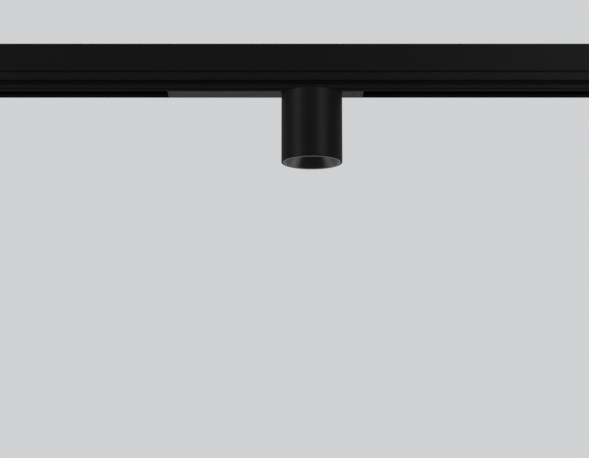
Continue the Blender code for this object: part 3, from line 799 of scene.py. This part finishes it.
def make_connector():
    """A two-way push-in terminal with round entries and square test ports."""
    low, high = span("output_connector")
    shell = plain_object("terminal_block", block(low, high))
    past = 1.0
    entry_radius, entry_end, entry_z = 1.5, low.x + 5, low.z + 2.4
    port_half, port_start, port_end, port_floor = 1.1, high.x - 3.4, high.x - 1.2, high.z - 1.2
    for y in (-2.3, 2.3):
        entry = {"centre": (y, entry_z), "axis": "X", "sides": SMALL}
        corner = (port_start, y - port_half, port_floor)
        carve(
            shell,
            "DIFFERENCE",
            disc(entry_radius, low.x - past, entry_end, **entry),
            block(corner, (port_end, y + port_half, high.z + past)),
        )
    piece("terminal_block", shell, "adaptor", "board_white", ["output_connector"], 0.2)


# Release


def make_return_spring():
    """A coil of round wire whose end turns lie closer than the others."""
    low, high = span("release_spring")
    middle = (low + high) / 2
    wire, travel = 0.35, 1.5
    radius = (high.x - low.x) / 2 - wire
    turns, steps, sides = 6, 36, 12
    bottom, top = low.z + wire, high.z - wire
    bm = bmesh.new()
    rings = []
    for i in range(turns * steps + 1):
        angle = 2 * math.pi * i / steps
        share = i / (turns * steps)
        # the end turns lie closer than the others
        eased = share - math.sin(2 * math.pi * share) * 0.09
        out = Vector((math.cos(angle), math.sin(angle), 0))
        at = Vector((middle.x, middle.y, bottom + (top - bottom) * eased)) + out * radius
        section = circle(0, 0, wire, sides)
        rings.append([bm.verts.new(at + out * u + Vector((0, 0, v))) for u, v in section])
    for first, second in zip(rings, rings[1:]):
        for i in range(sides):
            j = (i + 1) % sides
            bm.faces.new((first[i], first[j], second[j], second[i]))
    bm.faces.new(rings[0])
    bm.faces.new(rings[-1][::-1])
    made = piece("return_spring", bm, "adaptor", "bright_steel", ["release_spring"])
    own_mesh(made)


# Screws


def make_screw(node, body, head_height, shank, points_up):
    """A pan-head screw with a cross recess and a rolled thread."""
    low, high = span(node)
    middle = (low + high) / 2
    head = (high.x - low.x) / 2
    length = high.z - low.z
    face, sign = (low.z, 1) if points_up else (high.z, -1)
    pitch, depth = shank * 0.5, shank * 0.16
    crown = [(0, 0), (head * 0.55, 0.02), (head * 0.85, 0.22), (head, 0.7), (head, head_height)]
    profile = crown[:1] + soften(crown, 0.25, 4)[1:-1] + [(head - 0.05, head_height)]
    profile.append((shank, head_height))
    start, end = head_height + 0.3, length - 0.5
    steps = int((end - start) / (pitch / 6))
    profile += [(shank, start + (end - start) * i / steps) for i in range(steps + 1)]
    profile += [(shank * 0.75, length - 0.1), (shank * 0.6, length), (0, length)]

    def thread(radius, height, angle):
        along = abs(height - face)
        if radius != shank or not start < along < end:
            return radius
        return radius - depth * saw(along, pitch, angle)

    turned = [(r, face + sign * t) for r, t in profile]
    made = plain_object(node + "_cross", lathe(turned, SMALL, (middle.x, middle.y), ripple=thread))
    arm, width = head * 0.55, head * 0.11
    low_z, high_z = sorted((face + sign * head_height * 0.55, face - sign))
    for x, y in ((arm, width), (width, arm)):
        outline = rectangle(middle.x - x, middle.x + x, middle.y - y, middle.y + y)
        carve(made, "DIFFERENCE", prism(outline, "Z", low_z, high_z))
    piece(node + "_cross", made, body, "bright_steel", [node], 0.04, 1)


def make_screws():
    for number in (1, 2):
        make_screw(f"arm_screw_{number}", "swivel", 1.4, 1.0, True)
        make_screw(f"led_board_screw_{number}", "head", 1.3, 1.1, True)
        make_screw(f"cap_screw_{number}", "head", 1.8, 1.25, False)


# Swivel


def make_shaft():
    """A hollow shaft on a disc, with a thread for the nut and blind holes for the arm's screws."""
    low, high = span("swivel_shaft")
    radius = (high.x - low.x) / 2
    pitch, depth = 0.8, 0.38
    thread_start, thread_end = -43.6, high.z - 0.4
    profile = [(SHAFT_BORE, low.z), (radius, low.z), (radius, DISC_TOP), (SHAFT_RADIUS, DISC_TOP)]
    profile = soften(profile + [(SHAFT_RADIUS, thread_start), (SHAFT_BORE, thread_start)], 0.3)
    cut_at = next(i for i, (r, z) in enumerate(profile) if z > thread_start - 0.5)
    profile = profile[:cut_at]
    steps = int((thread_end - thread_start) / (pitch / 8))
    for i in range(steps + 1):
        profile.append((SHAFT_RADIUS, thread_start + (thread_end - thread_start) * i / steps))
    profile += [(SHAFT_RADIUS - 0.45, high.z), (SHAFT_BORE + 0.2, high.z)]
    profile.append((SHAFT_BORE, high.z - 0.2))

    def thread(r, height, angle):
        if r != SHAFT_RADIUS or height <= thread_start:
            return r
        return r - depth * saw(height, pitch, angle)

    shaft = plain_object("swivel_spindle", lathe(profile, MODEST, ripple=thread))
    for y in (-ARM_SCREW_Y, ARM_SCREW_Y):
        hole = {"centre": (0, y), "sides": SMALL}
        carve(shaft, "DIFFERENCE", disc(ARM_SCREW_HOLE, low.z - PAST, low.z + 1.4, **hole))
    piece("swivel_spindle", shaft, "swivel", "bright_steel", ["swivel_shaft"], 0.08)


def make_nut():
    low, high = span("swivel_nut")
    radius = (high.x - low.x) / 2
    nut = plain_object("hex_nut", prism(circle(0, 0, radius, 6), "Z", low.z, high.z))
    chamfer, flats = 0.62, radius * math.cos(math.pi / 6) + 0.1
    dome = [(0, low.z), (flats, low.z), (radius, low.z + chamfer)]
    dome += [(radius, high.z - chamfer), (flats, high.z), (0, high.z)]
    carve(nut, "INTERSECT", lathe(dome, MEDIUM))
    bore, flare = SHAFT_RADIUS + GAP, 1.3  # the bore opens at 45 degrees at both ends
    hole = [(0, low.z - 1), (bore + flare, low.z - 1), (bore, low.z - 1 + flare)]
    hole += [(bore, high.z + 1 - flare), (bore + flare, high.z + 1), (0, high.z + 1)]
    carve(nut, "DIFFERENCE", lathe(hole, MEDIUM))
    piece("hex_nut", nut, "swivel", "bright_steel", ["swivel_nut"], 0.08)


def make_washer():
    low, high = span("friction_washer")
    radius, bore = (high.x - low.x) / 2, SHAFT_RADIUS + GAP
    profile = [(bore, low.z), (radius, low.z), (radius, high.z), (bore, high.z)]
    bm = lathe(soften(profile, 0.2), MEDIUM)
    piece("spring_washer", bm, "swivel", "nickel_plate", ["friction_washer"])


def make_arm():
    """A flat strip that ends in the hinge's knuckle."""
    low, high = span("tilt_arm")
    meet = math.degrees(math.asin((ARM_TOP - HINGE_Z) / KNUCKLE))
    knuckle = arc(HINGE_Y, HINGE_Z, KNUCKLE, 180 - meet, meet - 180, 48)
    outline = [(low.y, ARM_BOTTOM), (low.y, ARM_TOP), *knuckle]
    arm = plain_object("hinge_arm", prism(outline, "X", low.x, high.x))
    end_radius, past_end, past_face = 4.5, 5.0, 3.0
    plan = soften(rectangle(low.x, high.x, low.y, high.y + past_end), end_radius, 10)
    carve(arm, "INTERSECT", prism(plan, "Z", low.z - past_face, high.z + past_face))
    below, above = low.z - PAST, high.z + PAST
    pin = circle(HINGE_Y, HINGE_Z, PIN_RADIUS + GAP, SMALL)
    cutters = [prism(pin, "X", low.x - PAST, high.x + PAST)]
    cutters.append(disc(SHAFT_BORE, below, above, sides=SMALL))
    for y in (-ARM_SCREW_Y, ARM_SCREW_Y):
        cutters.append(disc(ARM_SCREW_HOLE, below, above, centre=(0, y), sides=SMALL))
    carve(arm, "DIFFERENCE", *cutters)
    piece("hinge_arm", arm, "swivel", "bright_steel", ["tilt_arm"], 0.2)


# Head


def make_tube():
    """The lamp's outside, notched at its top rear edge for the hinge."""
    low, high = span("head_tube")
    radius = (high.x - low.x) / 2
    bore = radius - TUBE_WALL
    profile = [(bore, low.z), (radius, low.z), (radius, high.z), (bore, high.z)]
    tube = plain_object("lamp_tube", lathe(soften(profile, 0.5, 6), FINE))
    half, front, floor = EAR_OUTER + 0.4, 20.0, HINGE_Z - KNUCKLE - 0.5
    notch = block((-half, front, floor), (half, radius + PAST, high.z + PAST))
    carve(tube, "DIFFERENCE", notch)
    piece("lamp_tube", tube, "head", "black_powder_coat", ["head_tube"], 0.18, 3)


def make_cap():
    """The lamp's top: hinge ears, a well and channel for the swivel, and seats for two screws."""
    low, high = span("top_cap")
    radius, bottom, top = high.x, low.z, TOP_CAP_TOP
    rim = soften([(0, bottom), (radius, bottom), (radius, top), (0, top)], 0.4)
    cap = plain_object("lamp_cap", lathe(rim, FINE))
    ear_root, channel_half, lead_hole = 22.0, 6.5, 4.0
    ear = [(ear_root, HINGE_Z - KNUCKLE), *arc(HINGE_Y, HINGE_Z, KNUCKLE, -90, 90, 32)]
    ear.append((ear_root, HINGE_Z + KNUCKLE))
    carve(cap, "UNION", prism(ear, "X", -EAR_OUTER, EAR_OUTER))
    pin = circle(HINGE_Y, HINGE_Z, PIN_RADIUS + GAP, SMALL)
    channel_end = (channel_half, high.y + PAST, top + PAST)
    carve(
        cap,
        "DIFFERENCE",
        disc(WELL_RADIUS, WELL_FLOOR, top + PAST),
        block((-channel_half, 0, WELL_FLOOR), channel_end),
        prism(pin, "X", -EAR_OUTER - PAST, EAR_OUTER + PAST),
        disc(lead_hole, bottom - PAST, WELL_FLOOR + PAST, sides=SMALL),
    )
    shank, seat, chamfer = 1.6, 3.0, 0.25
    for number in (1, 2):
        at = middle_of(f"cap_screw_{number}")
        hole = [(0, bottom - PAST), (shank, bottom - PAST), (shank, CAP_SCREW_SEAT)]
        hole += [(seat, CAP_SCREW_SEAT), (seat, top - chamfer)]
        hole += [(seat + 2 * chamfer, top + chamfer), (0, top + chamfer)]
        carve(cap, "DIFFERENCE", lathe(hole, SMALL, (at.x, at.y)))
    piece("lamp_cap", cap, "head", "black_powder_coat", ["top_cap"], 0.15)


def make_pin():
    end = span("hinge_pin")[1].x
    tip, chamfer = PIN_RADIUS * 0.7, 0.35
    profile = [(0, -end), (tip, -end), (PIN_RADIUS, -end + chamfer)]
    profile += [(PIN_RADIUS, end - chamfer), (tip, end), (0, end)]
    bm = lathe(soften(profile, 0.2), SMALL, (HINGE_Y, HINGE_Z), "X")
    piece("hinge_axle", bm, "head", "bright_steel", ["hinge_pin"])


def make_sink():
    """Radial fins on a base, with bosses for the cap's screws and blind holes for the board's."""
    low, high = span("heat_sink")
    radius = high.x
    fins, core, tip, fin_half = 16, 9.0, radius - 0.4, 0.9
    outline = []
    for k in range(fins):
        angle = 2 * math.pi * (k + 0.5) / fins
        along = Vector((math.cos(angle), math.sin(angle)))
        root_half = Vector((-along.y, along.x)) * fin_half
        tip_half = root_half * 0.8
        root, end = along * core, along * tip
        for point in (root - root_half, end - tip_half, end + tip_half, root + root_half):
            outline.append(tuple(point))
    fin_shape = prism(soften(outline, 0.6), "Z", SINK_BASE_TOP - 1, high.z)
    sink = plain_object("fin_block", fin_shape)
    base = [(0, low.z), (radius, low.z), (radius, SINK_BASE_TOP), (0, SINK_BASE_TOP)]
    carve(sink, "UNION", lathe(soften(base, 0.4), FINE))
    boss, boss_hole, boss_hole_floor, board_hole_end = 2.6, 1.55, -63.0, -73.2
    for number in (1, 2):
        at = middle_of(f"cap_screw_{number}")
        hole = {"centre": (at.x, at.y), "sides": SMALL}
        carve(sink, "UNION", disc(boss, SINK_BASE_TOP - PAST, high.z, **hole))
        carve(sink, "DIFFERENCE", disc(boss_hole, boss_hole_floor, high.z + PAST, **hole))
        at = middle_of(f"led_board_screw_{number}")
        hole = {"centre": (at.x, at.y), "sides": SMALL}
        carve(sink, "DIFFERENCE", disc(BOARD_SCREW_HOLE, low.z - PAST, board_hole_end, **hole))
    piece("fin_block", sink, "head", "bare_aluminium", ["heat_sink"], 0.12)


def make_board():
    """Thermal pad, and the white board with its screw holes and tinned lands."""
    low, high = span("thermal_pad")
    profile = [(0, low.z), (high.x, low.z), (high.x, high.z), (0, high.z)]
    bm = lathe(soften(profile, 0.2), MODEST)
    piece("heat_pad", bm, "head", "grommet_rubber", ["thermal_pad"])
    low, high = span("led_board")
    profile = [(0, low.z), (high.x, low.z), (high.x, high.z), (0, high.z)]
    board = plain_object("led_base_board", lathe(soften(profile, 0.15, 3), MEDIUM))
    for number in (1, 2):
        at = middle_of(f"led_board_screw_{number}")
        hole = {"centre": (at.x, at.y), "sides": SMALL}
        carve(board, "DIFFERENCE", disc(BOARD_SCREW_HOLE, low.z - PAST, high.z + PAST, **hole))
    piece("led_base_board", board, "head", "board_white", ["led_board"], 0.1)
    for name, y in (("front", -10.6), ("back", 10.6)):
        land = [(0, low.z - 0.14), (1.0, low.z - 0.12), (1.5, low.z - 0.04), (1.6, low.z + 0.1)]
        bm = lathe(land + [(0, low.z + 0.1)], SMALL, (0, y))
        piece("solder_land_" + name, bm, "head", "nickel_plate")


def make_led():
    """Ceramic base, white dam and phosphor dome."""
    low, high = span("led_chip")
    radius, ceramic = high.x, 0.7
    base = [(0, high.z - ceramic), (radius, high.z - ceramic), (radius, high.z), (0, high.z)]
    bm = lathe(soften(base, 0.12), MODEST)
    piece("led_ceramic", bm, "head", "board_white", ["led_chip"])
    dam_out, dam_in, floor = radius - 1.0, radius - 1.7, high.z - ceramic - 0.02
    dam = [(dam_out, floor), (dam_out, low.z + 0.1), (dam_in, low.z + 0.1), (dam_in, floor)]
    piece("led_dam", lathe(soften(dam, 0.3), MODEST), "head", "board_white")
    crown = dam_in - 0.05
    dome = [(crown * math.cos(a), low.z + 0.25 - 0.22 * math.sin(a)) for a in quarter(10)]
    dome = [(crown, floor), *dome, (0, low.z + 0.03), (0, floor)]
    piece("led_phosphor", lathe(dome, MODEST), "head", "phosphor_yellow")


def quarter(steps):
    """The angles of a quarter turn, without its end."""
    return [math.radians(90 * i / steps) for i in range(steps)]


def make_lens():
    """A domed lens whose flat face carries a honeycomb of shallow pillows."""
    low, high = span("lens")
    radius = high.x
    edge = low.z + 2.0  # the top of the straight rim, where the dome starts
    rings, sides = 72, 288
    pitch, depth = 2.0, 0.16
    limit, fade_width = CONE_THROAT + 0.2, 0.5  # the pillows fade out towards the limit
    turns = [2 * math.pi * i / sides for i in range(sides)]
    bm = bmesh.new()

    def pillow(x, y):
        """How far a point of the face stands in from the tops of the pillows."""
        rows = pitch * math.sqrt(3) / 2
        nearest = pitch
        for row in (math.floor(y / rows), math.floor(y / rows) + 1):
            shift = (row % 2) * pitch / 2
            for column in (math.floor((x - shift) / pitch), math.floor((x - shift) / pitch) + 1):
                away = math.hypot(x - shift - column * pitch, y - row * rows)
                nearest = min(nearest, away)
        return depth * (nearest / (pitch / math.sqrt(3))) ** 2

    centre = bm.verts.new((0, 0, low.z))
    loops = []
    for k in range(1, rings + 1):
        r = limit * k / rings
        fade = min(1.0, (limit - r) / fade_width)
        loop = []
        for angle in turns:
            x, y = r * math.cos(angle), r * math.sin(angle)
            loop.append(bm.verts.new((x, y, low.z + pillow(x, y) * fade)))
        loops.append(loop)
    outer = soften([(radius, low.z), (radius, edge), (radius - 0.1, edge)], 0.3)[:5]
    outer.append((radius, edge))
    outer += [(radius * math.cos(a), edge + (high.z - edge) * math.sin(a)) for a in quarter(32)]
    for r, z in outer:
        loops.append([bm.verts.new((r * math.cos(t), r * math.sin(t), z)) for t in turns])
    tip = bm.verts.new((0, 0, high.z))
    for i in range(sides):
        j = (i + 1) % sides
        bm.faces.new((centre, loops[0][j], loops[0][i]))
        bm.faces.new((tip, loops[-1][i], loops[-1][j]))
        for inner, further in zip(loops, loops[1:]):
            bm.faces.new((inner[i], inner[j], further[j], further[i]))
    bmesh.ops.remove_doubles(bm, verts=bm.verts, dist=1e-4)
    piece("pillow_lens", bm, "head", "clear_lens", ["lens"])


def make_holder():
    low, high = span("lens_holder")
    radius, seat, throat, lip = high.x, 16.2, 12.8, low.z + 1.6
    profile = [(seat, high.z), (seat, lip), (throat, lip), (throat, low.z)]
    profile += [(radius, low.z), (radius, high.z)]
    bm = lathe(soften(profile, 0.35), MEDIUM)
    piece("lens_seat", bm, "head", "black_plastic", ["lens_holder"])


def make_cone():
    """The anti-glare cone, with the flange that fills the tube's mouth."""
    low, high = span("glare_cone")
    flange, wall = low.z + 3.0, 1.5
    slope = (CONE_MOUTH - CONE_THROAT) / (high.z - low.z)
    behind = CONE_MOUTH - slope * (flange - low.z) + wall
    profile = [(CONE_THROAT, high.z), (CONE_MOUTH, low.z), (high.x, low.z), (high.x, flange)]
    profile += [(behind, flange), (CONE_THROAT + wall, high.z)]
    bm = lathe(soften(profile, 0.2, 5), FINE)
    piece("shade_cone", bm, "head", "satin_black", ["glare_cone"])


# Studio


def make_world():
    """A plain pale backdrop for the camera. Reflections see a dim front and a bright back."""
    world = bpy.data.worlds.new("studio")
    bpy.context.scene.world = world
    world.use_nodes = True
    nodes, links = world.node_tree.nodes, world.node_tree.links
    output = next(n for n in nodes if n.type == "OUTPUT_WORLD")
    lit = next(n for n in nodes if n.type == "BACKGROUND")
    plain = nodes.new("ShaderNodeBackground")
    plain.inputs["Color"].default_value = (*BACKDROP, 1.0)
    direction = nodes.new("ShaderNodeSeparateXYZ")
    links.new(nodes.new("ShaderNodeTexCoord").outputs["Generated"], direction.inputs[0])
    depth = nodes.new("ShaderNodeMapRange")
    level = nodes.new("ShaderNodeMapRange")
    keys = ("From Min", "From Max", "To Min", "To Max")
    ranges = ((depth, "Y", (-0.05, 0.55, 0.13, 0.45)), (level, "Z", (0.35, -0.2, 0.45, 1.3)))
    for ramp, output_name, values in ranges:
        ramp.interpolation_type = "SMOOTHSTEP"
        for key, value in zip(keys, values):
            ramp.inputs[key].default_value = value
        links.new(direction.outputs[output_name], ramp.inputs["Value"])
    both = nodes.new("ShaderNodeMath")
    both.operation = "MULTIPLY"
    links.new(depth.outputs["Result"], both.inputs[0])
    links.new(level.outputs["Result"], both.inputs[1])
    links.new(both.outputs[0], lit.inputs["Strength"])
    lit.inputs["Color"].default_value = (1.0, 0.99, 0.98, 1.0)
    sight = nodes.new("ShaderNodeLightPath")
    choose = nodes.new("ShaderNodeMixShader")
    links.new(sight.outputs["Is Camera Ray"], choose.inputs["Fac"])
    links.new(lit.outputs[0], choose.inputs[1])
    links.new(plain.outputs[0], choose.inputs[2])
    links.new(choose.outputs[0], output.inputs["Surface"])


def softbox(name, azimuth, distance, height, size, radiance, color):
    """A soft light turned to the lamp. azimuth is degrees to the right of the camera's side."""
    light = bpy.data.lights.new(name, "AREA")
    light.shape = "RECTANGLE"
    light.size, light.size_y = size
    light.energy = radiance * math.pi * size[0] * size[1]
    light.color = color
    made = bpy.data.objects.new(name, light)
    a = math.radians(azimuth)
    made.location = (math.sin(a) * distance, -math.cos(a) * distance, height)
    target = Vector((0, 0, -0.08))
    made.rotation_euler = (target - made.location).to_track_quat("-Z", "Y").to_euler()
    made.visible_camera = False
    bpy.context.scene.collection.objects.link(made)


def make_floor():
    """As pale as the backdrop to the camera, and dimmer in reflections."""
    level, half = -2.4, 3.5
    bm = bmesh.new()
    bmesh.ops.create_grid(bm, x_segments=8, y_segments=8, size=half / MM)
    bmesh.ops.translate(bm, vec=(0, 0, level / MM), verts=bm.verts)
    floor = plain_object("studio_floor", bm)
    look = Look("floor", (0.3, 0.3, 0.3), 0.6)
    look.tint(900.0, (0.32, 0.32, 0.315), (0.28, 0.28, 0.28))
    look.gloss(400.0, 0.55, 0.7)
    pale = look.add("ShaderNodeEmission", {"Color": (*BACKDROP, 1.0), "Strength": 1.0})
    sight = look.add("ShaderNodeLightPath")
    choose = look.add(
        "ShaderNodeMixShader",
        {0: sight.outputs["Is Camera Ray"], 1: look.shader.outputs[0], 2: pale.outputs[0]},
    )
    output = next(n for n in look.tree.nodes if n.type == "OUTPUT_MATERIAL")
    look.tree.links.new(choose.outputs[0], output.inputs["Surface"])
    floor.data.materials.append(look.material)


def make_camera():
    data = bpy.data.cameras.new("camera")
    data.lens = CAMERA_LENS
    data.sensor_width = 36.0
    made = bpy.data.objects.new("camera", data)
    made.location = CAMERA_PLACE
    made.rotation_euler = (math.radians(90 + CAMERA_PITCH), 0, 0)
    bpy.context.scene.collection.objects.link(made)
    bpy.context.scene.camera = made


def make_studio():
    make_world()
    make_floor()
    make_camera()
    softbox("strip_left", -56, 1.6, 0.35, (0.45, 1.3), 4.2, (1.0, 0.99, 0.97))
    softbox("strip_right", 38, 1.6, 0.35, (0.46, 1.3), 4.4, (0.95, 0.97, 1.0))
    softbox("fill_left", -95, 1.4, -0.9, (1.0, 0.8), 1.0, (1.0, 0.95, 0.93))
    softbox("fill_right", 95, 1.4, -0.9, (1.0, 0.8), 1.4, (1.0, 0.94, 0.98))
    softbox("back_top", 165, 1.0, 1.4, (1.3, 1.0), 5.0, (1.0, 0.99, 0.98))
    view = bpy.context.scene.view_settings
    view.view_transform = "Standard"


# The CAD nodes that stay, each with the width of its rounded edges
CAD_EDGES = {
    "magnet_strip": 0.1,
    "conductor_carrier_front": 0.12,
    "conductor_carrier_back": 0.12,
    "conductor_front_1": 0.12,
    "conductor_front_2": 0.12,
    "conductor_back_1": 0.12,
    "conductor_back_2": 0.12,
    "end_cap_left": 0.45,
    "end_cap_feed": 0.45,
    "driver_housing": 0.3,
    "cover_plate": 0.14,
    "contact_block": 0.3,
    "magnet_left": 0.35,
    "magnet_right": 0.35,
    "driver_board": 0.08,
    "release_button": 0.14,
    "latch_front": 0.12,
    "latch_back": 0.12,
}


def main():
    make_studio()
    make_track()
    make_grommet()
    make_contact_springs()
    make_bush()
    make_capacitors()
    make_inductor()
    make_chip()
    make_connector()
    make_return_spring()
    make_screws()
    make_shaft()
    make_nut()
    make_washer()
    make_arm()
    make_tube()
    make_cap()
    make_pin()
    make_sink()
    make_board()
    make_led()
    make_lens()
    make_holder()
    make_cone()
    for node, bevel in CAD_EDGES.items():
        cad_piece(node, bevel)


main()
